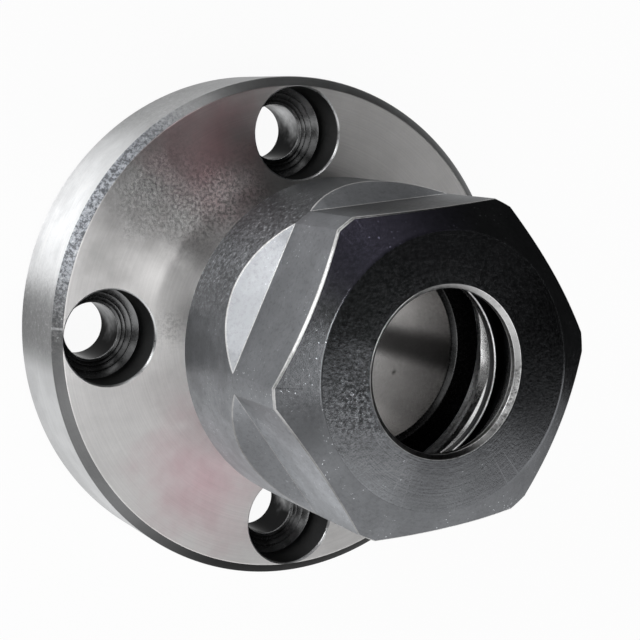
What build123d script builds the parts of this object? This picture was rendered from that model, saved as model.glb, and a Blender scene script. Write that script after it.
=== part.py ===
from build123d import *
import os
from math import cos, radians, sin, tan

# A small flange-mounted collet chuck and its clamping nut, in millimetres.
# The chuck's axis is Z. Its mounting face lies on the plane Z = 0, and the nut is on top.

# Flange
flange_diameter = 45.0
flange_thickness = 9.0
rim_chamfer_width = 0.85
rim_chamfer_depth = 0.6
back_edge_break = 0.4

# Screw holes, each bored out for a socket head. The head bores lie just inside the rim's chamfer.
screw_count = 4
screw_hole_diameter = 5.0
head_bore_diameter = 8.2
head_bore_depth = 3.8
head_bore_to_chamfer = 0.05
drill_point_angle = 118.0
hole_edge_break = 0.15

# Register in the mounting face, which centres the chuck on a spindle nose
register_to_screws = 2.5
register_depth = 2.0
register_edge_break = 0.3

# Threaded nose. The thread itself is left plain, at its outside diameter.
thread_diameter = 22.0
thread_end_chamfer = 0.8
neck_undercut = 1.4
neck_length = 2.4
neck_slope = 0.6
nose_length = 14.3

# Collet socket, tapered by this angle on each side, and the short plain bore behind it
socket_mouth_diameter = 15.7
socket_half_angle = 8.0
socket_edge_break = 0.35
bar_bore_length = 1.7

# Nut, turned round and then milled to a hexagon over its front
nut_length = 18.2
nut_standoff = 7.45
nut_wall = 3.0
flat_count = 6
flat_depth = 1.5
flat_start = 9.55
shoulder_lean = 30.0
nut_bevel_width = 1.55
nut_bevel_angle = 30.0
nut_back_break = 0.3
nut_rest_angle = 36.0

# Inside the nut, from its mouth to its back
mouth_diameter = 12.8
mouth_edge_break = 0.4
mouth_land = 0.45
collet_cone_diameter = 16.8
collet_cone_angle = 30.0
groove_depth = 0.6
groove_width = 0.9
lip_height = 1.1
lip_width = 0.8
lip_edge_break = 0.1
lip_offset = 0.65
lip_direction = 264.0
relief_depth = 0.4
relief_length = 3.6
thread_clearance = 0.05
thread_mouth_chamfer = 0.7

# Heights that both pieces share
nose_end = flange_thickness + nose_length
nut_back = flange_thickness + nut_standoff
nut_front = nut_back + nut_length


def radial_plane(angle):
    """The plane through the axis at this angle, with X outwards and Y along the axis."""
    turn = radians(angle)
    return Plane(origin=(0, 0, 0), x_dir=(cos(turn), sin(turn), 0), z_dir=(sin(turn), -cos(turn), 0))


# Chuck body: flange, neck, threaded nose, tapered socket and bar bore turned in one piece
flange_radius = flange_diameter / 2
face_radius = flange_radius - rim_chamfer_width
head_radius = head_bore_diameter / 2
screw_radius = screw_hole_diameter / 2
screw_circle_radius = face_radius - head_bore_to_chamfer - head_radius
register_radius = screw_circle_radius - screw_radius - register_to_screws
thread_radius = thread_diameter / 2
neck_radius = thread_radius - neck_undercut
neck_end = flange_thickness + neck_length
mouth_radius = socket_mouth_diameter / 2
socket_taper = tan(radians(socket_half_angle))
socket_end = register_depth + bar_bore_length
bar_radius = mouth_radius - (nose_end - socket_end) * socket_taper

with BuildPart() as chuck_body:
    with BuildSketch(radial_plane(0)):
        with BuildLine():
            Polyline(
                (bar_radius, register_depth),
                (register_radius, register_depth),
                (register_radius, register_edge_break),
                (register_radius + register_edge_break, 0),
                (flange_radius - back_edge_break, 0),
                (flange_radius, back_edge_break),
                (flange_radius, flange_thickness - rim_chamfer_depth),
                (face_radius, flange_thickness),
                (neck_radius, flange_thickness),
                (neck_radius, neck_end),
                (thread_radius, neck_end + neck_slope),
                (thread_radius, nose_end - thread_end_chamfer),
                (thread_radius - thread_end_chamfer, nose_end),
                (mouth_radius + socket_edge_break, nose_end),
                (mouth_radius - socket_edge_break * socket_taper, nose_end - socket_edge_break),
                (bar_radius, socket_end),
                close=True,
            )
        make_face()
    revolve(axis=Axis.Z)

    floor_height = flange_thickness - head_bore_depth
    point_depth = (head_radius - screw_radius) / tan(radians(drill_point_angle / 2))
    with Locations(Plane.XY.offset(flange_thickness)):
        with PolarLocations(screw_circle_radius, screw_count):
            CounterBoreHole(screw_radius, head_radius, head_bore_depth)
            Cone(
                head_radius,
                head_radius + hole_edge_break,
                hole_edge_break,
                align=(Align.CENTER, Align.CENTER, Align.MAX),
                mode=Mode.SUBTRACT,
            )
    with Locations(Plane.XY.offset(floor_height)):
        with PolarLocations(screw_circle_radius, screw_count):
            Cone(
                screw_radius,
                head_radius,
                point_depth,
                align=(Align.CENTER, Align.CENTER, Align.MAX),
                mode=Mode.SUBTRACT,
            )
    with PolarLocations(screw_circle_radius, screw_count):
        Cone(
            screw_radius + hole_edge_break,
            screw_radius,
            hole_edge_break,
            align=(Align.CENTER, Align.CENTER, Align.MIN),
            mode=Mode.SUBTRACT,
        )


# Clamping nut: a turned blank, six milled flats, then the bore from both ends
collar_radius = thread_radius + nut_wall
flat_distance = collar_radius - flat_depth
front_radius = flat_distance - nut_bevel_width
front_drop = (collar_radius - front_radius) * tan(radians(nut_bevel_angle))
flat_foot = nut_back + flat_start
shoulder_slope = 1 / tan(radians(shoulder_lean))
cutter_reach = collar_radius + 1
cutter_top = nut_front + 1

land_radius = mouth_diameter / 2
cone_radius = collet_cone_diameter / 2
cone_start = nut_front - mouth_edge_break - mouth_land
cone_end = cone_start - (cone_radius - land_radius) / tan(radians(collet_cone_angle))
lip_front = cone_end - groove_width
lip_back = lip_front - lip_width
relief_end = lip_back - relief_length
bore_radius = thread_radius + thread_clearance
groove_radius = cone_radius + groove_depth
lip_radius = groove_radius - lip_height
relief_radius = thread_radius + relief_depth
lip_centre = (lip_offset * cos(radians(lip_direction)), lip_offset * sin(radians(lip_direction)))

with BuildPart() as clamping_nut:
    with BuildSketch(radial_plane(0)):
        with BuildLine():
            Polyline(
                (0, nut_back),
                (collar_radius - nut_back_break, nut_back),
                (collar_radius, nut_back + nut_back_break),
                (collar_radius, nut_front - front_drop),
                (front_radius, nut_front),
                (0, nut_front),
                close=True,
            )
        make_face()
    revolve(axis=Axis.Z)

    for flat in range(flat_count):
        with BuildSketch(radial_plane(nut_rest_angle + flat * 360 / flat_count)):
            with BuildLine():
                Polyline(
                    (flat_distance, flat_foot),
                    (cutter_reach, flat_foot - (cutter_reach - flat_distance) * shoulder_slope),
                    (cutter_reach, cutter_top),
                    (flat_distance, cutter_top),
                    close=True,
                )
            make_face()
        extrude(amount=collar_radius, both=True, mode=Mode.SUBTRACT)

    with BuildSketch(radial_plane(0)):
        with BuildLine():
            Polyline(
                (0, nut_front),
                (land_radius + mouth_edge_break, nut_front),
                (land_radius, nut_front - mouth_edge_break),
                (land_radius, cone_start),
                (cone_radius, cone_end),
                (groove_radius, cone_end),
                (groove_radius, lip_front),
                (0, lip_front),
                close=True,
            )
        make_face()
    revolve(axis=Axis.Z, mode=Mode.SUBTRACT)

    with BuildSketch(radial_plane(0)):
        with BuildLine():
            Polyline(
                (0, nut_back),
                (bore_radius + thread_mouth_chamfer, nut_back),
                (bore_radius, nut_back + thread_mouth_chamfer),
                (bore_radius, relief_end),
                (relief_radius, relief_end),
                (relief_radius, lip_back),
                (0, lip_back),
                close=True,
            )
        make_face()
    revolve(axis=Axis.Z, mode=Mode.SUBTRACT)

    # The lip that holds a collet is bored off centre, so that a collet can be tipped in
    with Locations((*lip_centre, lip_back)):
        Cylinder(
            lip_radius,
            lip_width,
            align=(Align.CENTER, Align.CENTER, Align.MIN),
            mode=Mode.SUBTRACT,
        )
    with Locations((*lip_centre, lip_front)):
        Cone(
            lip_radius,
            lip_radius + lip_edge_break,
            lip_edge_break,
            align=(Align.CENTER, Align.CENTER, Align.MAX),
            mode=Mode.SUBTRACT,
        )


os.makedirs("parts", exist_ok=True)
chuck_body.part.label = "chuck_body"
export_step(chuck_body.part, "parts/chuck_body.step")
clamping_nut.part.label = "clamping_nut"
export_step(clamping_nut.part, "parts/clamping_nut.step")
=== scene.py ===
from collections import namedtuple
from math import acos, atan2, cos, degrees, pi, radians, sin, tan

import bmesh
import bpy
from mathutils import Matrix, Vector


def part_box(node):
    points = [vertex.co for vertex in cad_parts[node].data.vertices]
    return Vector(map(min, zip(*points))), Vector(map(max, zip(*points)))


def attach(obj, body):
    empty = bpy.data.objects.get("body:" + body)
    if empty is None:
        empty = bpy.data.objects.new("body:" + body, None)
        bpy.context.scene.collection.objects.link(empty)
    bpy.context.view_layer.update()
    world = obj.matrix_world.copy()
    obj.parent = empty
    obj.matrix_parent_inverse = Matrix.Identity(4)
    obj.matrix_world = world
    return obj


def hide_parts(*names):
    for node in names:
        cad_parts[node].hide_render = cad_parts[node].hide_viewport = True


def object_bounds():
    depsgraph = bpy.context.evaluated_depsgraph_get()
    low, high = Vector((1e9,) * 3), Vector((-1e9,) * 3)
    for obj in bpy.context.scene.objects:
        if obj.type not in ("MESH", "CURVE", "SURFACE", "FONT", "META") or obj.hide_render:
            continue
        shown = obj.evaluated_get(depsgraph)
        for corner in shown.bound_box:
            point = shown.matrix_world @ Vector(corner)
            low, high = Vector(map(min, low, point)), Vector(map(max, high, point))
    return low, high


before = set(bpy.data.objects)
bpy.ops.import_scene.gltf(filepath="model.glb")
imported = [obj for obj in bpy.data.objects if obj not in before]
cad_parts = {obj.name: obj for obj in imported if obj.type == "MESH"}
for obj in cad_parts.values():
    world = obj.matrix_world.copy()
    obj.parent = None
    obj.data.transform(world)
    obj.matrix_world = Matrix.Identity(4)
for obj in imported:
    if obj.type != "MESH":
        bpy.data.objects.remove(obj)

cad_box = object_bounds()

# Sizes are in millimetres, as in the part's source, and MM turns them into Blender's metres
MM = 0.001
body_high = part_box("chuck_body")[1] / MM
nut_low, nut_high = (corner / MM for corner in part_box("clamping_nut"))

# Chuck body
flange_radius = body_high.x
flange_height = 9.0
rim_chamfer_width = 0.85
rim_chamfer_depth = 0.6
face_radius = flange_radius - rim_chamfer_width
back_break = 0.4
register_radius = 12.5
register_depth = 2.0
register_break = 0.3
nose_end = body_high.z
nose_chamfer = 0.8
neck_radius = 9.6
neck_end = 11.4
neck_slope = 0.6
socket_mouth_radius = 7.85
socket_break = 0.35
socket_half_angle = 8.0
socket_end = 3.7
bar_radius = socket_mouth_radius - (nose_end - socket_end) * tan(radians(socket_half_angle))

# Screw holes, with the rings that the drill left in the seats, and how far their cutter stands out
screw_count = 4
screw_circle_radius = 17.5
screw_radius = 2.5
head_radius = 4.1
head_floor = 5.2
drill_point_half_angle = 59.0
hole_break = 0.15
seat_ring_radii = (2.75, 3.05, 3.5)
seat_ring_depth = 0.06
seat_ring_width = 0.1
cutter_beyond = 0.5

# Thread on the nose and in the nut. Where the nose is in the nut, the nut's crests stop short of it,
# so that the two clear each other at every turn.
thread_radius = 11.0
thread_pitch = 1.5
thread_flank_half_angle = 30.0
nose_thread_depth = 0.8
nose_crest_share = 1 / 8
bore_radius = 11.05
bore_root_radius = 11.22
bore_crest_radius = 10.38
bore_crest_share = 1 / 3
bore_crest_lift = 0.66
bore_crest_start = 23.45
bore_crest_slope = 0.12

# Clamping nut
nut_back = nut_low.z
nut_front = nut_high.z
collar_radius = nut_high.x
flat_distance = 12.5
flat_count = 6
flat_foot = 26.0
flat_half_angle = acos(flat_distance / collar_radius)
shoulder_lean = 30.0
bevel_radius = 10.95
bevel_angle = 30.0
nut_rest_angle = 36.0
nut_back_break = 0.3
mouth_radius = 6.4
mouth_break = 0.4
mouth_land = 0.45
cone_radius = 8.4
cone_angle = 30.0
groove_radius = 9.0
groove_width = 0.9
lip_radius = 7.9
lip_width = 0.8
lip_break = 0.1
lip_offset = 0.65
lip_direction = 264.0
relief_radius = 11.4
relief_length = 3.6
bore_chamfer = 0.7
cone_start = nut_front - mouth_break - mouth_land
cone_end = cone_start - (cone_radius - mouth_radius) / tan(radians(cone_angle))
lip_front = cone_end - groove_width
lip_back = lip_front - lip_width
relief_start = lip_back - relief_length

# How far the edges are rounded, at most by a share of the run on each side. The bevel's outer edge is
# worn most on one side of the nut, and least opposite.
fine_round = 0.06
rim_round = 0.12
neck_round = 0.4
shoulder_round = 0.1
annulus_round = 0.12
worn_round = 0.19
worn_side = 150.0
least_worn_share = 0.45
run_share = 0.45

# Mesh steps round the body and round a hole, over a flat and a corner of the nut, and along a
# rounding. A close step, in degrees, lies on each side of a corner's edges. The holes' steps are turned
# by a share of one, so that none of their points falls on one of the body's.
body_steps = 288
hole_steps = 72
flat_steps = 30
corner_steps = 4
round_steps = 4
close_step = 0.4
hole_step_turn = 0.37

# Points closer than this are merged, and edges shorter than this are dropped
merge_distance = 0.004
least_edge = 0.002

# Shading: edges sharper than this angle stay sharp, and at this weight, the highest that there is, the
# large faces rule the normals beside them
sharp_angle = 28.0
area_weight = 100

# Camera: the photograph's view, as a place, a point to look at, a tilt and a lens, and the nearest and
# the farthest that it sees
camera_place = Vector((-65.963, 19.446, 136.462))
camera_aim = Vector((-2.2, 2.036, 18.022))
camera_roll = 1.319
camera_lens = 90.573
camera_reach = (5.0, 20000.0)
sensor_width = 36.0


# A corner of a profile. The finish is that of the band up to the next corner, and edge is that of its
# own rounding.
Corner = namedtuple("Corner", "radius height finish rounding edge", defaults=(0, "edge"))


def eased(corners):
    """The profile's (radius, height, finish) points, with its corners rounded."""
    points = []
    count = len(corners)
    for index, corner in enumerate(corners):
        here = Vector(corner[:2])
        if corner.rounding == 0:
            points.append((*here, corner.finish))
            continue
        before = Vector(corners[index - 1][:2]) - here
        after = Vector(corners[(index + 1) % count][:2]) - here
        reach = min(corner.rounding, run_share * before.length, run_share * after.length)
        start = here + before.normalized() * reach
        end = here + after.normalized() * reach
        for step in range(round_steps + 1):
            along = step / round_steps
            point = start * (1 - along) ** 2 + here * 2 * along * (1 - along) + end * along ** 2
            points.append((*point, corner.finish if step == round_steps else corner.edge))
    return points


def even_angles(steps, turn=0.0):
    """Angles evenly round a circle, all turned by a share of a step."""
    return [2 * pi * (step + turn) / steps for step in range(steps)]


def turned_rows(points, angles, centre=(0, 0)):
    """A row of places round the centre for each (radius, height, finish) point of a profile."""
    x, y = centre
    return [
        ([(x + radius * cos(angle), y + radius * sin(angle), height) for angle in angles], finish)
        for radius, height, finish in points
    ]


def add_rows(mesh, rows, finishes):
    """Adds rows of (places, finish) that close round the axis, with quads from each to the next."""
    made = [[mesh.verts.new(Vector(place) * MM) for place in places] for places, _ in rows]
    for lower, upper, (_, finish) in zip(made, made[1:], rows):
        for index in range(len(lower)):
            beside = (index + 1) % len(lower)
            face = mesh.faces.new((lower[index], lower[beside], upper[beside], upper[index]))
            face.material_index = finishes.index(finish)
    return made


def clean(mesh):
    """Merges what coincides, drops what has no area and turns all faces outwards."""
    bmesh.ops.remove_doubles(mesh, verts=mesh.verts, dist=merge_distance * MM)
    bmesh.ops.dissolve_degenerate(mesh, edges=mesh.edges, dist=least_edge * MM)
    bmesh.ops.recalc_face_normals(mesh, faces=mesh.faces)


def as_object(name, mesh, materials):
    data = bpy.data.meshes.new(name)
    mesh.to_mesh(data)
    mesh.free()
    for material in materials:
        data.materials.append(material)
    made = bpy.data.objects.new(name, data)
    bpy.context.scene.collection.objects.link(made)
    return made


def add_thread(mesh, finishes, angles, envelope, crest, root, crest_share, low, high, lift=0.0):
    """Adds a helical thread between two heights, in rows that follow the helix.

    A root inside the crest is a thread on a nose, and one outside it is a thread in a bore. The thread
    stops at the envelope, which gives a radius for a height. The lift is the height of a crest above
    the low end at the first angle.
    """
    crest_width = crest_share * thread_pitch
    flank = abs(crest - root) * tan(radians(thread_flank_half_angle))
    turn_heights = (0, crest_width, crest_width + flank, thread_pitch - flank)
    spare_turns = 2
    decimals = 6

    def form_at(along):
        along %= thread_pitch
        if along <= crest_width:
            return crest
        depth = min(along - crest_width, thread_pitch - along, flank) / flank
        return crest + (root - crest) * depth

    around = [*angles, angles[0] + 2 * pi]
    rows = []
    for turn in range(-spare_turns, int((high - low) / thread_pitch) + spare_turns):
        for turn_height in turn_heights:
            row = []
            for angle in around:
                rise = lift + thread_pitch * (angle - angles[0]) / (2 * pi)
                height = min(max(low + turn * thread_pitch + turn_height + rise, low), high)
                form = form_at(round(height - low - rise, decimals))
                limit = envelope(height)
                radius = min(form, limit) if root < crest else max(form, limit)
                place = Vector((radius * cos(angle), radius * sin(angle), height))
                row.append(mesh.verts.new(place * MM))
            rows.append(row)
    for lower, upper in zip(rows, rows[1:]):
        for step in range(len(angles)):
            corners = [lower[step], lower[step + 1], upper[step + 1], upper[step]]
            if corners[0].co == corners[3].co and corners[1].co == corners[2].co:
                continue
            face = mesh.faces.new(corners)
            face.material_index = finishes.index("thread")
    loose = [vert for vert in mesh.verts if not vert.link_faces]
    bmesh.ops.delete(mesh, geom=loose, context="VERTS")


# Chuck body

body_finishes = [
    "face", "rim", "chamfer", "edge", "hole", "head", "seat", "thread", "nose", "socket", "back"
]


def nose_envelope(height):
    """The nose's outside before it was threaded: neck, slope, cylinder and end chamfer."""
    if height < neck_end + neck_slope:
        return neck_radius + (height - neck_end) / neck_slope * (thread_radius - neck_radius)
    return min(thread_radius, thread_radius - nose_chamfer + (nose_end - height))


def hole_centres():
    """X and Y of each screw hole."""
    return [
        (screw_circle_radius * cos(turn), screw_circle_radius * sin(turn))
        for turn in even_angles(screw_count)
    ]


def hole_cutter_mesh():
    """What the drill and the counterbore take out at each screw hole, with its edges eased."""
    slope = 1 / tan(radians(drill_point_half_angle))
    seat_end = head_floor - (head_radius - screw_radius) * slope
    break_radius = screw_radius + hole_break
    head_break_radius = head_radius + hole_break
    seat = [Corner(screw_radius, seat_end, "seat", fine_round)]
    for radius in seat_ring_radii:
        height = head_floor - (head_radius - radius) * slope
        seat += [
            Corner(radius, height, "seat"),
            Corner(radius, height - seat_ring_depth, "seat"),
            Corner(radius + seat_ring_width, height + seat_ring_width * slope, "seat"),
        ]
    profile = eased([
        Corner(break_radius + cutter_beyond, -cutter_beyond, "edge"),
        Corner(break_radius, 0, "edge"),
        Corner(screw_radius, hole_break, "hole"),
        *seat,
        Corner(head_radius, head_floor, "head"),
        Corner(head_radius, flange_height - hole_break, "edge", hole_break / 2),
        Corner(head_break_radius, flange_height, "edge"),
        Corner(head_break_radius + cutter_beyond, flange_height + cutter_beyond, "edge"),
    ])
    angles = even_angles(hole_steps, hole_step_turn)
    mesh = bmesh.new()
    for centre in hole_centres():
        rows = add_rows(mesh, turned_rows(profile, angles, centre), body_finishes)
        mesh.faces.new(rows[0])
        mesh.faces.new(rows[-1])
    bmesh.ops.recalc_face_normals(mesh, faces=mesh.faces)
    return mesh


def chuck_body_mesh():
    """The turned body: rows from the nose's end, down the socket, round the flange and up the neck, and
    the thread from there to the nose's end.
    """
    socket_edge_radius = socket_mouth_radius - socket_break * tan(radians(socket_half_angle))
    chamfer_start = flange_height - rim_chamfer_depth
    profile = eased([
        Corner(thread_radius - nose_chamfer, nose_end, "nose"),
        Corner(socket_mouth_radius + socket_break, nose_end, "nose", fine_round, "nose"),
        Corner(socket_edge_radius, nose_end - socket_break, "socket", fine_round, "nose"),
        Corner(bar_radius, socket_end, "socket"),
        Corner(bar_radius, register_depth, "back", fine_round),
        Corner(register_radius, register_depth, "back"),
        Corner(register_radius, register_break, "edge"),
        Corner(register_radius + register_break, 0, "back"),
        Corner(flange_radius - back_break, 0, "chamfer", fine_round),
        Corner(flange_radius, back_break, "rim", fine_round, "rim"),
        Corner(flange_radius, chamfer_start, "chamfer", rim_round, "chamfer"),
        Corner(face_radius, flange_height, "face", fine_round, "face"),
        Corner(neck_radius, flange_height, "thread", neck_round, "thread"),
        Corner(neck_radius, neck_end, "thread"),
    ])
    angles = even_angles(body_steps)
    mesh = bmesh.new()
    add_rows(mesh, turned_rows(profile, angles), body_finishes)
    add_thread(
        mesh, body_finishes, angles, nose_envelope,
        crest=thread_radius, root=thread_radius - nose_thread_depth, crest_share=nose_crest_share,
        low=neck_end, high=nose_end,
    )
    clean(mesh)
    return mesh


# Clamping nut

nut_finishes = [
    "collar", "shoulder", "flat", "bevel", "annulus", "edge", "mouth", "inside", "thread"
]


def nut_angles():
    """Angles round the nut, with steps that end on each corner's edges and close in on them."""
    sector = 2 * pi / flat_count
    close = radians(close_step)
    inner = flat_half_angle - close
    corner = sector - 2 * flat_half_angle - 2 * close
    offsets = [
        -flat_half_angle,
        -flat_half_angle + close,
        *(-inner + 2 * inner * step / flat_steps for step in range(1, flat_steps)),
        inner,
        flat_half_angle,
        *(flat_half_angle + close + corner * step / corner_steps for step in range(corner_steps + 1)),
    ]
    first = radians(nut_rest_angle)
    return [first + flat * sector + offset for flat in range(flat_count) for offset in offsets]


def outside_at(angle):
    """The nut's outside in the half plane at this angle, as corners from the back to the annulus."""
    sector = 2 * pi / flat_count
    offset = (angle - radians(nut_rest_angle) + sector / 2) % sector - sector / 2
    reach = min(flat_distance / cos(offset), collar_radius)
    lean = 1 / tan(radians(shoulder_lean))
    shoulder_edge = min(
        flat_foot - lean * (collar_radius * cos(offset) - flat_distance), flat_foot
    )
    bevel_edge = nut_front - (reach - bevel_radius) * tan(radians(bevel_angle))
    worn = max(0, cos(angle - radians(worn_side))) ** 2
    bevel_round = worn_round * (least_worn_share + (1 - least_worn_share) * worn)
    return [
        Corner(collar_radius, nut_back + nut_back_break, "collar", fine_round),
        Corner(collar_radius, shoulder_edge, "shoulder", shoulder_round),
        Corner(reach, flat_foot, "flat", fine_round),
        Corner(reach, bevel_edge, "bevel", bevel_round),
        Corner(bevel_radius, nut_front, "annulus", annulus_round, "bevel"),
    ]


def bore_envelope(height):
    """How far in the nut's thread may reach.

    It is chamfered at both ends and cut back to the bore where the nose is. Only in front of the nose
    are its crests full.
    """
    back = bore_radius + bore_chamfer - (height - nut_back)
    front = relief_radius - (relief_start - height)
    rise = (height - bore_crest_start) / bore_crest_slope
    clear = bore_radius - (bore_radius - bore_crest_radius) * min(max(rise, 0), 1)
    return max(back, front, clear)


def clamping_nut_mesh():
    """The milled nut: rows from its back, up its outside and down its bore to the thread's relief, and
    the thread from there to the back.
    """
    angles = nut_angles()
    direction = radians(lip_direction)
    lip_centre = (lip_offset * cos(direction), lip_offset * sin(direction))
    before = Corner(collar_radius - nut_back_break, nut_back, "edge", fine_round)
    after = Corner(mouth_radius + mouth_break, nut_front, "edge")
    columns = [eased([before, *outside_at(angle), after]) for angle in angles]
    rows = turned_rows([(bore_radius + bore_chamfer, nut_back, "collar")], angles)
    for points in list(zip(*columns))[:-1]:
        finish = points[0][2]
        places = [
            (radius * cos(angle), radius * sin(angle), height)
            for (radius, height, _), angle in zip(points, angles)
        ]
        rows.append((places, finish))
    mouth = [
        Corner(mouth_radius + mouth_break, nut_front, "mouth", fine_round),
        Corner(mouth_radius, nut_front - mouth_break, "mouth", fine_round),
        Corner(mouth_radius, cone_start, "inside", fine_round),
        Corner(cone_radius, cone_end, "inside"),
        Corner(groove_radius, cone_end, "inside"),
        Corner(groove_radius, lip_front, "inside"),
    ]
    lip = [
        Corner(lip_radius + lip_break, lip_front, "edge", fine_round),
        Corner(lip_radius, lip_front - lip_break, "inside", fine_round),
        Corner(lip_radius, lip_back, "inside", fine_round),
    ]
    relief = [(relief_radius, lip_back, "inside"), (relief_radius, relief_start, "inside")]
    rows += turned_rows(eased([*mouth, lip[0]])[: -round_steps - 1], angles)
    rows += turned_rows(eased([mouth[-1], *lip])[1:], angles, lip_centre)
    rows += turned_rows(relief, angles)
    mesh = bmesh.new()
    add_rows(mesh, rows, nut_finishes)
    add_thread(
        mesh, nut_finishes, angles, bore_envelope,
        crest=bore_crest_radius, root=bore_root_radius, crest_share=bore_crest_share,
        low=nut_back, high=relief_start, lift=bore_crest_lift,
    )
    clean(mesh)
    return mesh


# Material nodes

def new_material(name):
    """A new material, its tree of nodes and its principled shader."""
    material = bpy.data.materials.new(name)
    material.use_nodes = True
    tree = material.node_tree
    return material, tree, tree.nodes["Principled BSDF"]


def plug(tree, value, socket):
    """Links a socket, or sets a plain value."""
    if isinstance(value, bpy.types.NodeSocket):
        tree.links.new(value, socket)
    else:
        socket.default_value = value


def maths(tree, operation, first, second):
    node = tree.nodes.new("ShaderNodeMath")
    node.operation = operation
    plug(tree, first, node.inputs[0])
    plug(tree, second, node.inputs[1])
    return node.outputs[0]


def times(tree, first, second):
    return maths(tree, "MULTIPLY", first, second)


def vector_maths(tree, operation, first, second=(0, 0, 0)):
    """The result of an operation on vectors, which is a number for some of them."""
    node = tree.nodes.new("ShaderNodeVectorMath")
    node.operation = operation
    plug(tree, first, node.inputs[0])
    plug(tree, second, node.inputs[1])
    is_number = operation in ("DOT_PRODUCT", "LENGTH", "DISTANCE")
    return node.outputs["Value" if is_number else "Vector"]


def scaled(tree, vector, factor):
    node = tree.nodes.new("ShaderNodeVectorMath")
    node.operation = "SCALE"
    tree.links.new(vector, node.inputs[0])
    node.inputs["Scale"].default_value = factor
    return node.outputs["Vector"]


def between(tree, value, low, high, to_low=0.0, to_high=1.0):
    """Goes smoothly from one number to the other while the value goes from low to high."""
    node = tree.nodes.new("ShaderNodeMapRange")
    node.interpolation_type = "SMOOTHSTEP"
    for entry, socket in zip((value, low, high, to_low, to_high), node.inputs):
        plug(tree, entry, socket)
    return node.outputs[0]


def noise(tree, vector, scale, detail, roughness):
    node = tree.nodes.new("ShaderNodeTexNoise")
    plug(tree, vector, node.inputs["Vector"])
    node.inputs["Scale"].default_value = scale
    node.inputs["Detail"].default_value = detail
    node.inputs["Roughness"].default_value = roughness
    return node.outputs["Fac"]


def mixed(tree, factor, first, second, mode="MIX"):
    """Two colours mixed. The node's sockets for colours go by number, as others share their names."""
    node = tree.nodes.new("ShaderNodeMix")
    node.data_type = "RGBA"
    node.blend_type = mode
    plug(tree, factor, node.inputs["Factor"])
    plug(tree, first, node.inputs[6])
    plug(tree, second, node.inputs[7])
    return node.outputs[2]


def separated(tree, vector):
    """The outputs X, Y and Z of a vector."""
    node = tree.nodes.new("ShaderNodeSeparateXYZ")
    tree.links.new(vector, node.inputs[0])
    return node.outputs


def grey(value, tint=(1.0, 1.0, 1.0)):
    return (*(value * channel for channel in tint), 1.0)


# A spot's uneven border. The scale of its noise is the first number over the spread, plus the second.
# The noise's strength, and where the border ends and begins, are shares of the spread.
spot_noise_scale = (1.6, 0.12)
spot_noise_detail = 3.0
spot_noise_roughness = 0.55
spot_unevenness = 0.9
spot_border = (1.45, 0.25)


class Places:
    """The ways in which the finishes ask where a point lies, all in millimetres on the object."""

    def __init__(self, tree):
        self.tree = tree
        texture = tree.nodes.new("ShaderNodeTexCoord")
        self.point = scaled(tree, texture.outputs["Object"], 1 / MM)
        self.axes = separated(tree, self.point)
        flat = tree.nodes.new("ShaderNodeCombineXYZ")
        tree.links.new(self.axes["X"], flat.inputs["X"])
        tree.links.new(self.axes["Y"], flat.inputs["Y"])
        self.radius = vector_maths(tree, "LENGTH", flat.outputs[0])
        self.outwards = vector_maths(tree, "NORMALIZE", flat.outputs[0])

    def sector(self, angle, spread):
        """1 at this angle round the axis, falling smoothly to 0 at the spread on each side."""
        direction = (cos(radians(angle)), sin(radians(angle)), 0)
        facing = vector_maths(self.tree, "DOT_PRODUCT", self.outwards, direction)
        return between(self.tree, facing, cos(radians(spread)), 1.0)

    def spot(self, angle, radius, height, spread):
        """1 at a point given round the axis, falling to 0 about the spread, with an uneven border."""
        tree = self.tree
        centre = (radius * cos(radians(angle)), radius * sin(radians(angle)), height)
        away = vector_maths(tree, "DISTANCE", self.point, centre)
        scale = spot_noise_scale[0] / spread + spot_noise_scale[1]
        uneven = noise(tree, self.point, scale, spot_noise_detail, spot_noise_roughness)
        reached = maths(tree, "ADD", away, times(tree, uneven, spread * spot_unevenness))
        return between(tree, reached, *(spread * share for share in spot_border))

    def turning(self, across, along):
        """A place for noise round the axis, fine across the tool marks and long along them."""
        tree = self.tree
        ring = scaled(tree, self.outwards, along)
        depth = times(tree, maths(tree, "SUBTRACT", self.axes["Z"], self.radius), across)
        lift = tree.nodes.new("ShaderNodeCombineXYZ")
        tree.links.new(depth, lift.inputs["Z"])
        return vector_maths(tree, "ADD", ring, lift.outputs[0])


# A patch that multiplies the colour: round the axis where it has no radius, and else round a point.
# Most patches are painted light, shade or reflections.
Patch = namedtuple("Patch", "angle spread colour strength radius height", defaults=(1.0, None, 0))


def on_face(angle, radius, spread, colour, strength=1.0):
    """A patch round a point of the flange's face."""
    return Patch(angle, spread, colour, strength, radius, flange_height)


def in_each_hole(x, y, height, spread, colour):
    """The same patch at each screw hole, placed by X and Y from the hole's centre."""
    patches = []
    for centre in hole_centres():
        place = Vector((centre[0] + x, centre[1] + y))
        angle = degrees(atan2(place.y, place.x))
        patches.append(Patch(angle, spread, colour, 1.0, place.length, height))
    return patches


def amount_of(places, patch):
    """How strongly a patch works at each point, from 0 to its strength."""
    if patch.radius is None:
        where = places.sector(patch.angle, patch.spread)
    else:
        where = places.spot(patch.angle, patch.radius, patch.height, patch.spread)
    return times(places.tree, where, patch.strength)


# Noises of the finishes: scale, detail and roughness. Places in the tool marks' noise are stretched by
# two factors, across the marks and along them.
marks_noise = (1.0, 3.0, 0.65)
marks_stretch = (9.0, 1.4)
cloud_noise = (0.3, 5.0, 0.62)
fine_noise = (3.0, 5.0, 0.78)
speck_noise = (4.5, 2.0, 0.5)

# Values of those noises between which each trait comes in
cloud_range = (0.35, 0.65)
marks_range = (0.3, 0.7)
grain_range = (0.3, 0.55)
speck_range = (0.68, 0.73)
speck_cloud_range = (0.44, 0.6)
pit_range = (0.54, 0.44)
glint_range = (0.58, 0.66)
gloss_range = (0.3, 0.7)
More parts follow.
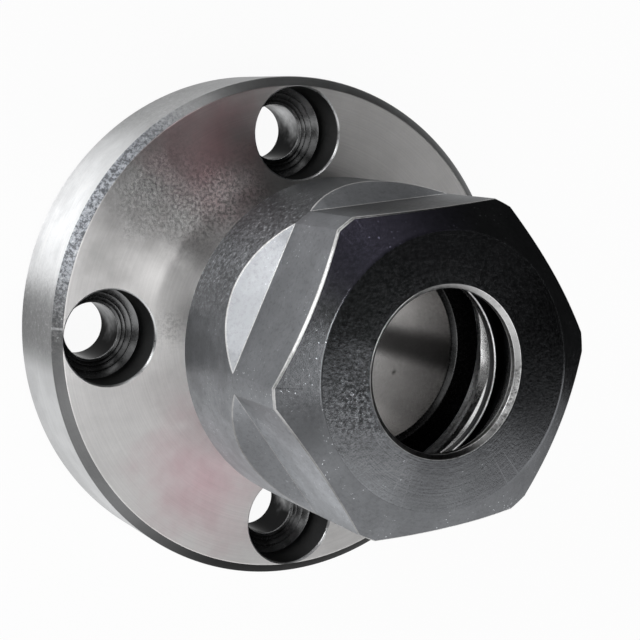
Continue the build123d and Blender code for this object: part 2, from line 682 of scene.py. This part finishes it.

# How bright the marks and the grain are, as shares of the metal's brightness, how bright the specks'
# painted glints are, how much brighter than the metal a painted glint in a pit patch is, up to a
# speck's, and how much the roughness varies
marks_shade = 0.4
grain_shade = 0.2
speck_brightness = 0.85
glint_gain = 2.4
gloss_change = (-0.04, 0.05)

# The relief's height in millimetres, and what the marks, the grain and the pits add to it
relief_height = 0.005
marks_relief = 0.5
grain_relief = 4
pits_relief = 12.0

# Which way a highlight is stretched, as a share of a turn: across the tool marks
stretch_turn = 0.25


def stretch_highlight(tree, shader, anisotropy):
    """Stretches the highlight across tool marks that run round the axis."""
    shader.inputs["Anisotropic"].default_value = anisotropy
    shader.inputs["Anisotropic Rotation"].default_value = stretch_turn
    tangent = tree.nodes.new("ShaderNodeTangent")
    tangent.direction_type = "RADIAL"
    tangent.axis = "Z"
    tree.links.new(tangent.outputs[0], shader.inputs["Tangent"])


def steel(
    name, value, tint, roughness, anisotropy=0.0, marks=0.12, grain=0.1, clouds=0.07, specks=0.0,
    grazing=1.0, patches=(), pits_and_glints=(),
):
    """Metal of this brightness and tint, with tool marks, a fine grain, clouds and clusters of small
    bright specks, which are painted glints, and with patches, most of which paint light, shade and
    reflections into the colour, and patches of pits with painted glints.

    A low grazing value keeps the border dark, as on an oily or blackened surface. In the body's holes
    and on its nose end it is painted shade.
    """
    material, tree, shader = new_material(name)
    places = Places(tree)
    turned = noise(tree, places.turning(*marks_stretch), *marks_noise)
    cloud = noise(tree, places.point, *cloud_noise)
    fine = noise(tree, places.point, *fine_noise)
    speck_field = noise(tree, places.point, *speck_noise)

    cloud_colours = grey(value * (1 - clouds), tint), grey(value * (1 + clouds), tint)
    colour = mixed(tree, between(tree, cloud, *cloud_range), *cloud_colours)
    marked = between(tree, turned, *marks_range, 0.0, marks)
    colour = mixed(tree, marked, colour, grey(value * marks_shade, tint))
    grained = between(tree, fine, *grain_range, grain, 0.0)
    colour = mixed(tree, grained, colour, grey(value * grain_shade, tint))
    # Specks: painted glints, bright dots in clusters
    if specks:
        cluster = between(tree, cloud, *speck_cloud_range, 0.0, specks)
        speckled = times(tree, between(tree, speck_field, *speck_range), cluster)
        colour = mixed(tree, speckled, colour, grey(speck_brightness, tint))
    for patch in patches:
        colour = mixed(tree, amount_of(places, patch), colour, patch.colour, "MULTIPLY")

    rough = maths(tree, "ADD", roughness, between(tree, fine, *gloss_range, *gloss_change))
    relief = maths(
        tree, "ADD", times(tree, turned, marks_relief), times(tree, fine, grain * grain_relief)
    )
    # Painted glints: bright spots mixed into the colour in each patch of pits, beside its pits
    glint = grey(min(value * glint_gain, speck_brightness), tint)
    for patch in pits_and_glints:
        where = amount_of(places, patch)
        pits = times(tree, where, between(tree, fine, *pit_range))
        glints = times(tree, where, between(tree, fine, *glint_range))
        colour = mixed(tree, pits, colour, patch.colour, "MULTIPLY")
        colour = mixed(tree, glints, colour, glint)
        deep = times(tree, times(tree, fine, where), pits_relief)
        relief = maths(tree, "ADD", relief, deep)

    plug(tree, colour, shader.inputs["Base Color"])
    plug(tree, rough, shader.inputs["Roughness"])
    shader.inputs["Metallic"].default_value = 1.0
    shader.inputs["Specular Tint"].default_value = grey(grazing)
    if anisotropy:
        stretch_highlight(tree, shader, anisotropy)
    bump = tree.nodes.new("ShaderNodeBump")
    bump.inputs["Strength"].default_value = 1.0
    bump.inputs["Distance"].default_value = relief_height * MM
    tree.links.new(relief, bump.inputs["Height"])
    tree.links.new(bump.outputs[0], shader.inputs["Normal"])
    return material


def body_materials():
    warm = (1.0, 0.985, 0.975)
    cool = (0.98, 0.99, 1.0)
    # The reddish and pinkish tints are painted reflections on the face, and bluish is painted light on
    # the chamfer
    reddish = (1.3, 0.9, 0.95, 1.0)
    pinkish = (1.0, 0.74, 0.8, 1.0)
    bluish = (1.35, 1.4, 1.5, 1.0)
    face_patches = [
        # Painted reflection: a reddish tint
        on_face(117, 18.5, 9.0, reddish),
        # Painted shade: two darker spots
        on_face(104, 20.5, 5.0, grey(0.7), 0.6),
        on_face(137, 18.5, 8.5, grey(0.66)),
        # Painted light: the right side lighter
        Patch(0, 60, grey(1.2)),
        # Painted reflection: a pinkish tint
        on_face(237, 15.9, 9.0, pinkish),
        # Painted light: lighter spots beside the nut, against its shadow and reflection
        on_face(121, 12.0, 4.5, grey(1.35)),
        on_face(181, 11.5, 6.0, grey(1.2)),
        on_face(207, 12.0, 5.0, grey(1.2)),
        # Painted highlight: a streak along 149.2 degrees
        on_face(149.2, 12.4, 1.6, grey(1.35)),
        on_face(149.2, 13.6, 1.4, grey(1.35)),
        on_face(149.2, 14.9, 1.2, grey(1.3)),
        # Painted shade: a darker spot
        on_face(159, 19.4, 5.0, grey(0.56)),
    ]
    # Pits, with painted glints
    face_pits_and_glints = [
        on_face(131, 13.8, 5.5, grey(0.5)),
        on_face(114, 13.8, 4.5, grey(0.4)),
        on_face(137, 18.5, 6.0, grey(0.5)),
        on_face(177, 12.0, 2.6, grey(0.6), 0.6),
    ]
    # Painted highlight at 152 degrees, and painted shade at 178 and 108 degrees
    rim_patches = [
        Patch(152, 26, grey(1.6)), Patch(178, 11, grey(0.45)), Patch(108, 28, grey(0.6), 0.7)
    ]
    # Pits, with painted glints
    rim_pits_and_glints = [Patch(176, 12, grey(0.4), 0.3), Patch(115, 20, grey(0.4), 0.3)]
    # Painted shade at 268, 290 and 194 degrees, painted light with a bluish tint at 148 degrees, and a
    # bright scratch at 177.6 degrees
    chamfer_patches = [
        Patch(268, 70, grey(0.08)),
        Patch(290, 55, grey(0.25)),
        Patch(194, 34, grey(0.45)),
        Patch(148, 32, bluish),
        Patch(177.6, 0.35, grey(2.4)),
    ]
    # Pits, with painted glints
    chamfer_pits_and_glints = [Patch(150, 38, grey(0.35))]
    # Painted light on part of each screw hole's wall
    painted_wall_light = in_each_hole(1.4, 2.0, 2.6, 3.4, grey(48.0))
    # Painted shade on part of each seat
    painted_seat_shade = in_each_hole(1.2, -2.4, 4.5, 6.0, grey(0.02))
    # Painted light at 38 degrees and a painted shade band at -5 degrees; the last patch is a small dark
    # spot
    socket_patches = [
        Patch(38, 34, grey(1.95)),
        Patch(-5, 15, grey(0.08), 0.95),
        Patch(-26.9, 0.42, grey(0.15), 1.0, 6.89, 16.46),
    ]
    return {
        "face": steel(
            "turned_face", 0.74, warm, 0.38, anisotropy=0.95, grain=0.05, clouds=0.04,
            patches=face_patches, pits_and_glints=face_pits_and_glints,
        ),
        "rim": steel(
            "turned_rim", 0.62, cool, 0.4, anisotropy=0.85, marks=0.14, grain=0.08,
            patches=rim_patches, pits_and_glints=rim_pits_and_glints,
        ),
        "chamfer": steel(
            "rim_chamfer", 0.4, cool, 0.36, anisotropy=0.4, marks=0.1,
            patches=chamfer_patches, pits_and_glints=chamfer_pits_and_glints,
        ),
        "edge": steel("bare_edge", 0.65, cool, 0.3),
        # The screw hole, head bore and seat are dark, with dark grazing reflections: painted shade in
        # the holes
        "hole": steel("screw_hole", 0.02, cool, 0.12, grazing=0.5, patches=painted_wall_light),
        "head": steel("head_bore", 0.09, cool, 0.42, grazing=0.5),
        "seat": steel("screw_seat", 0.22, cool, 0.24, grazing=0.4, patches=painted_seat_shade),
        "thread": steel("nose_thread", 0.65, cool, 0.3),
        # The nose end is near-black, with dark grazing reflections: painted shade inside the nut
        "nose": steel("nose_end", 0.07, cool, 0.25, anisotropy=0.4, grazing=0.3),
        "socket": steel(
            "ground_socket", 0.51, warm, 0.2, anisotropy=0.3, marks=0.06, grain=0.05,
            patches=socket_patches,
        ),
        "back": steel("turned_back", 0.5, warm, 0.36, anisotropy=0.8),
    }


def nut_materials():
    blue = (0.95, 0.98, 1.03)
    plain = (1.0, 1.0, 1.0)
    violet = (1.2, 1.1, 1.5, 1.0)
    # Painted shade at 95 and 168 degrees, and painted light at 224 degrees
    collar_patches = [
        Patch(95, 50, grey(0.3), 0.9), Patch(168, 24, grey(0.5), 0.6), Patch(224, 36, grey(1.45))
    ]
    # Pits, with painted glints
    collar_pits_and_glints = [Patch(138, 34, grey(0.4), 0.8)]
    # Painted shade at 96 degrees on the shoulder and the flats; at 217 degrees painted shade on the
    # shoulder and painted light on the flats
    shoulder_patches = [Patch(96, 32, grey(0.58), 0.9), Patch(217, 34, grey(0.5))]
    flat_patches = [Patch(96, 32, grey(0.2)), Patch(217, 34, grey(2.0))]
    # The patch at 180 degrees is painted shade
    bevel_patches = [Patch(115, 40, violet, 0.8), Patch(180, 34, grey(0.5), 0.8)]
    # Pits, with painted glints
    bevel_pits_and_glints = [Patch(165, 35, grey(0.5), 0.12)]
    # Painted shade at 5 degrees and painted light at 218 degrees
    annulus_patches = [Patch(5, 60, grey(0.4)), Patch(218, 40, grey(1.45))]
    # Dark pits, with painted glints
    annulus_pits_and_glints = [Patch(190, 5.0, grey(0.15), 1.0, 8.0, nut_front)]
    # Painted shade on the edges at 96 and 220 degrees
    edge_patches = [Patch(96, 34, grey(0.25)), Patch(220, 52, grey(0.3))]
    # Painted shade at 268 and 180 degrees
    mouth_patches = [Patch(268, 62, grey(0.15)), Patch(180, 60, grey(0.5))]
    # Pits, with painted glints
    mouth_pits_and_glints = [Patch(335, 30, grey(0.35), 0.8)]
    # Pits on the worn corner, with painted glints
    worn_corner_and_glints = [Patch(124, 2.2, grey(0.5), 1.0, 13.2, nut_front - 1.2)]
    # Specks set how many painted glints each finish gets
    return {
        "collar": steel(
            "collar_oxide", 0.3, blue, 0.36, anisotropy=0.7, grain=0.35, clouds=0.14, specks=0.6,
            grazing=0.75, patches=collar_patches, pits_and_glints=collar_pits_and_glints,
        ),
        "shoulder": steel(
            "shoulder_oxide", 0.38, blue, 0.34, marks=0.0, grain=0.3, clouds=0.08, specks=0.6,
            grazing=0.7, patches=shoulder_patches,
        ),
        "flat": steel(
            "flat_oxide", 0.27, blue, 0.38, marks=0.0, grain=0.35, clouds=0.1, specks=0.9,
            grazing=0.55, patches=flat_patches, pits_and_glints=worn_corner_and_glints,
        ),
        "bevel": steel(
            "bevel_oxide", 0.17, blue, 0.16, anisotropy=0.3, marks=0.1, grain=0.25, clouds=0.1,
            specks=0.8, grazing=0.6, patches=bevel_patches, pits_and_glints=bevel_pits_and_glints,
        ),
        "annulus": steel(
            "annulus_oxide", 0.175, blue, 0.09, marks=0.1, grain=0.25, clouds=0.08, specks=0.3,
            grazing=0.6, patches=annulus_patches, pits_and_glints=annulus_pits_and_glints,
        ),
        "edge": steel(
            "worn_edge", 0.85, plain, 0.32, marks=0.0, grain=0.4, clouds=0.2,
            patches=edge_patches, pits_and_glints=worn_corner_and_glints,
        ),
        "mouth": steel(
            "mouth_edge", 0.45, plain, 0.3, anisotropy=0.3, marks=0.1, grain=0.3, clouds=0.2,
            patches=mouth_patches, pits_and_glints=mouth_pits_and_glints,
        ),
        "inside": steel("inside_oxide", 0.08, blue, 0.22, anisotropy=0.3),
        "thread": steel("bore_thread", 0.85, plain, 0.25, anisotropy=0.3),
    }


# Pieces

def smooth(piece):
    """Smooth shading with true flats: normals weighted by area, and sharp edges kept."""
    for face in piece.data.polygons:
        face.use_smooth = True
    piece.data.set_sharp_from_angle(angle=radians(sharp_angle))
    modifier = piece.modifiers.new("weighted_normals", "WEIGHTED_NORMAL")
    modifier.keep_sharp = True
    modifier.weight = area_weight


def cut_holes(piece, cutter):
    """Cuts the screw holes into the piece's mesh for good, and deletes the cutter."""
    cut = piece.modifiers.new("screw_holes", "BOOLEAN")
    cut.operation = "DIFFERENCE"
    cut.solver = "EXACT"
    cut.material_mode = "INDEX"
    cut.object = cutter
    evaluated = piece.evaluated_get(bpy.context.evaluated_depsgraph_get())
    shape = bpy.data.meshes.new_from_object(evaluated)
    piece.modifiers.remove(cut)
    mesh = bmesh.new()
    mesh.from_mesh(shape)
    clean(mesh)
    mesh.to_mesh(shape)
    mesh.free()
    piece.data = shape
    bpy.data.objects.remove(cutter)


def make_body():
    made = body_materials()
    materials = [made[finish] for finish in body_finishes]
    piece = as_object("turned_chuck_body", chuck_body_mesh(), materials)
    cut_holes(piece, as_object("hole_cutter", hole_cutter_mesh(), materials))
    smooth(piece)
    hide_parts("chuck_body")
    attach(piece, "body")


def make_nut():
    made = nut_materials()
    materials = [made[finish] for finish in nut_finishes]
    piece = as_object("milled_clamping_nut", clamping_nut_mesh(), materials)
    smooth(piece)
    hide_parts("clamping_nut")
    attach(piece, "nut")


# Studio

# The floor's finish, and half its side in metres
floor_value = 0.82
floor_roughness = 0.9
floor_half_side = 3.0

# The floor's glow doesn't depend on the lamps, so it keeps no shadow. The camera sees a mix, of which
# this share is glow. The metal sees the glow alone: bright round a middle beside the object and on the
# window's side, dark farther off, and lower under the flange.
floor_glow_in_view = 0.94
floor_glow_in_metal = 1.0
floor_dark_in_metal = 0.03
floor_glow_middle = (-40.0, -20.0, 0.0)
floor_glow_reach = (70.0, 150.0)
floor_window_side = (-60.0, -110.0)
floor_window_turn = (0.22, 0.29)
floor_under_reach = (21.0, 26.0)
floor_under_share = 0.75


def make_floor():
    """A pale floor that keeps the object's shadow, and that glows for the camera and in the metal."""
    material, tree, shader = new_material("pale_floor")
    shader.inputs["Base Color"].default_value = grey(floor_value)
    shader.inputs["Roughness"].default_value = floor_roughness
    places = Places(tree)
    away = vector_maths(tree, "DISTANCE", places.point, floor_glow_middle)
    near = between(tree, away, *floor_glow_reach, floor_glow_in_metal, floor_dark_in_metal)
    beside = between(tree, places.axes["Y"], *floor_window_side, 0.0, floor_glow_in_metal)
    facing = vector_maths(tree, "DOT_PRODUCT", places.outwards, (0, -1, 0))
    window = times(tree, beside, between(tree, facing, *floor_window_turn))
    clear = between(tree, places.radius, *floor_under_reach)
    shares = maths(tree, "MAXIMUM", floor_under_share, clear)
    pattern = times(tree, maths(tree, "MAXIMUM", near, window), shares)

    rays = tree.nodes.new("ShaderNodeLightPath")
    in_metal = rays.outputs["Is Glossy Ray"]
    seen = maths(
        tree, "MAXIMUM", rays.outputs["Is Camera Ray"], rays.outputs["Is Transmission Ray"]
    )
    glow = tree.nodes.new("ShaderNodeEmission")
    glow.inputs["Color"].default_value = grey(1.0)
    strength = maths(tree, "MAXIMUM", seen, times(tree, in_metal, pattern))
    tree.links.new(strength, glow.inputs["Strength"])
    blend = tree.nodes.new("ShaderNodeMixShader")
    share = maths(tree, "MAXIMUM", in_metal, times(tree, seen, floor_glow_in_view))
    tree.links.new(share, blend.inputs[0])
    tree.links.new(shader.outputs[0], blend.inputs[1])
    tree.links.new(glow.outputs[0], blend.inputs[2])
    tree.links.new(blend.outputs[0], tree.nodes["Material Output"].inputs["Surface"])

    mesh = bmesh.new()
    bmesh.ops.create_grid(mesh, x_segments=1, y_segments=1, size=floor_half_side)
    floor = as_object("floor", mesh, [material])


# Round lamps, in metres and all at one distance: the direction in which each stands, its diameter and
# its radiance
lamp_distance = 0.6
lamps = {
    "left_lamp": ((-0.85, 0.5, 0.12), 0.24, 5.7),
    "streak_lamp": ((-0.05, 0.08, 1.0), 0.06, 24.0),
    "upper_lamp": ((-0.33, -0.05, 0.94), 0.3, 3.0),
    "left_sky": ((-0.62, 0.4, 0.6), 0.3, 1.1),
    "rear_sky": ((-0.2, 0.85, 0.45), 0.26, 1.9),
}

# The sky's brightness in the window, which takes up the side towards negative Y, and in the rest of the
# room, on its left and right. These pass into each other between two values of a direction's Y or X.
window_sky = 1.1
room_sky = (0.12, 0.03)
window_turn = (-0.198, -0.172)
room_turn = (0.0, 0.6)


def make_lamp(name, direction, diameter, radiance):
    """A soft round lamp that looks at the middle of the object. Metal mirrors it at its radiance."""
    middle = (cad_box[0] + cad_box[1]) / 2
    away = Vector(direction).normalized()
    data = bpy.data.lights.new(name, "AREA")
    data.shape = "DISK"
    data.size = diameter
    data.energy = radiance * (pi * diameter / 2) ** 2
    lamp = bpy.data.objects.new(name, data)
    lamp.location = middle + away * lamp_distance
    lamp.rotation_mode = "QUATERNION"
    lamp.rotation_quaternion = away.to_track_quat("Z", "Y")
    bpy.context.scene.collection.objects.link(lamp)


def make_sky():
    """The window and the room, which the object sees, and white for the camera."""
    world = bpy.data.worlds.new("studio")
    bpy.context.scene.world = world
    world.use_nodes = True
    tree = world.node_tree
    background = tree.nodes["Background"]
    texture = tree.nodes.new("ShaderNodeTexCoord")
    direction = separated(tree, texture.outputs["Generated"])
    room = between(tree, direction["X"], *room_turn, *room_sky)
    sky = between(tree, direction["Y"], *window_turn, window_sky, room)
    rays = tree.nodes.new("ShaderNodeLightPath")
    strength = maths(tree, "MAXIMUM", sky, rays.outputs["Is Camera Ray"])
    tree.links.new(strength, background.inputs["Strength"])
    background.inputs["Color"].default_value = grey(1.0)


def make_camera():
    data = bpy.data.cameras.new("camera")
    data.lens = camera_lens
    data.sensor_width = sensor_width
    data.clip_start, data.clip_end = (reach * MM for reach in camera_reach)
    camera = bpy.data.objects.new("camera", data)
    back = (camera_place - camera_aim).normalized()
    right = Vector((0, 1, 0)).cross(back).normalized()
    upright = Matrix((right, back.cross(right), back)).transposed()
    tilt = Matrix.Rotation(radians(camera_roll), 3, "Z")
    camera.rotation_mode = "QUATERNION"
    camera.rotation_quaternion = (upright @ tilt).to_quaternion()
    camera.location = camera_place * MM
    bpy.context.scene.collection.objects.link(camera)
    bpy.context.scene.camera = camera


bpy.context.scene.view_settings.view_transform = "Standard"
make_camera()
make_floor()
for lamp_name, lamp_facts in lamps.items():
    make_lamp(lamp_name, *lamp_facts)
make_sky()
make_body()
make_nut()
